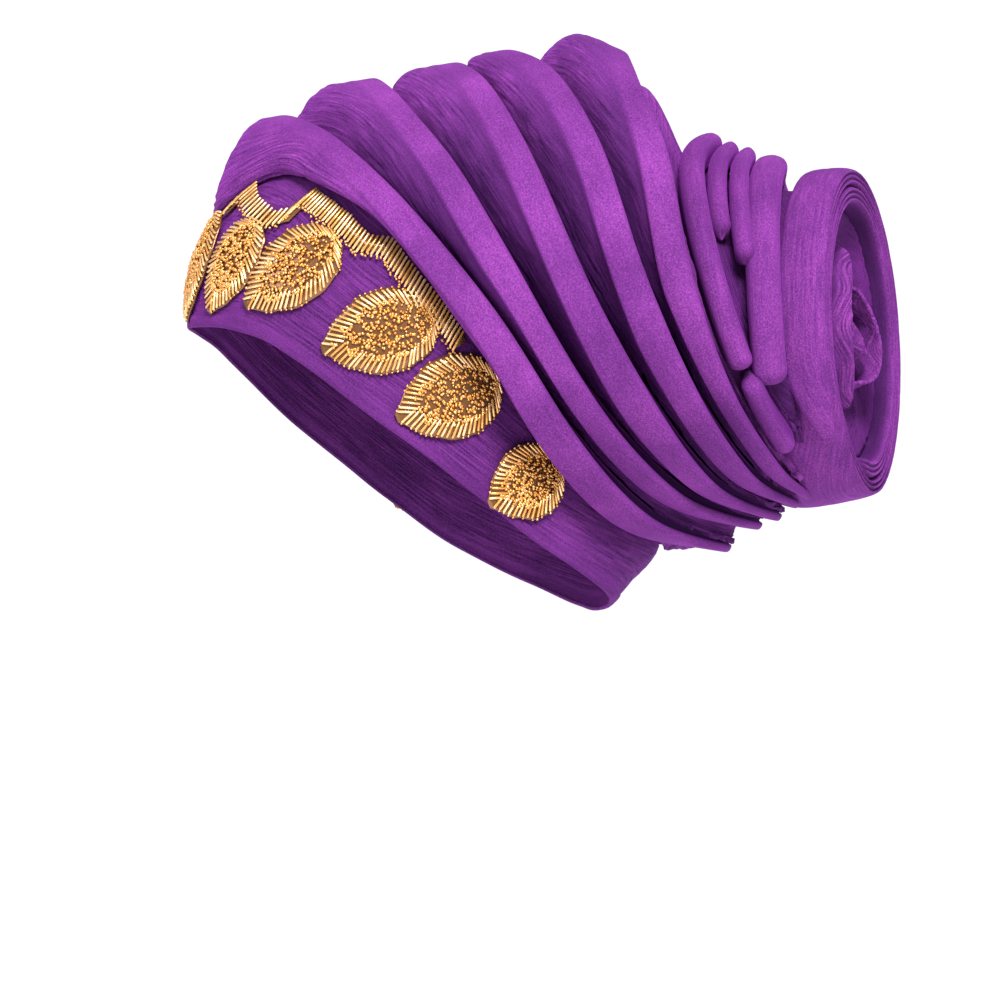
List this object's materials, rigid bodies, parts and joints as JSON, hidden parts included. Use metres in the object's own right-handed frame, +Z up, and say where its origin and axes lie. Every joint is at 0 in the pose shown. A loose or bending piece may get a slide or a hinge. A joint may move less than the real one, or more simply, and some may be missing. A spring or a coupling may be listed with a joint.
{
  "type": "tied gele head tie",
  "caption": "Crinkled purple cloth gele: a cap with fanned rolled tiers, a coiled rosette behind, and gold bead leaves on its band.",
  "frame": {"origin": "where the crown of the head bears on the inside of the cap", "axes": "+Z up as worn, -Y the way the wearer faces, +X the wearer's left; the fan and the rosette are tied 15 degrees round toward the wearer's left"},
  "size_m": [0.2214, 0.3142, 0.2436],
  "materials": {
    "gele_cloth": "crinkled gele cloth with a soft sheen",
    "gold_beads": "gold bead embroidery on a cloth backing"
  },
  "bodies": {
    "root": {"under_cap": "gele_cloth", "tier_1": "gele_cloth", "tier_2": "gele_cloth", "tier_3": "gele_cloth", "tier_4": "gele_cloth", "tier_5": "gele_cloth", "back_gather": "gele_cloth", "pleat_a": "gele_cloth", "pleat_b_1": "gele_cloth", "pleat_b_2": "gele_cloth", "pleat_c": "gele_cloth", "pleat_d_left": "gele_cloth", "pleat_d_right": "gele_cloth", "rosette_coil": "gele_cloth", "rosette_core": "gele_cloth", "core_flap_1": "gele_cloth", "core_flap_2": "gele_cloth", "core_flap_3": "gele_cloth", "leaf_front": "gold_beads", "leaf_left_1": "gold_beads", "leaf_left_2": "gold_beads", "leaf_left_3": "gold_beads", "leaf_left_4": "gold_beads", "leaf_left_5": "gold_beads", "leaf_right_1": "gold_beads", "leaf_right_2": "gold_beads", "leaf_right_3": "gold_beads", "leaf_right_4": "gold_beads", "leaf_right_5": "gold_beads", "stem_left": "gold_beads", "stem_right": "gold_beads"}
  },
  "joints": []
}
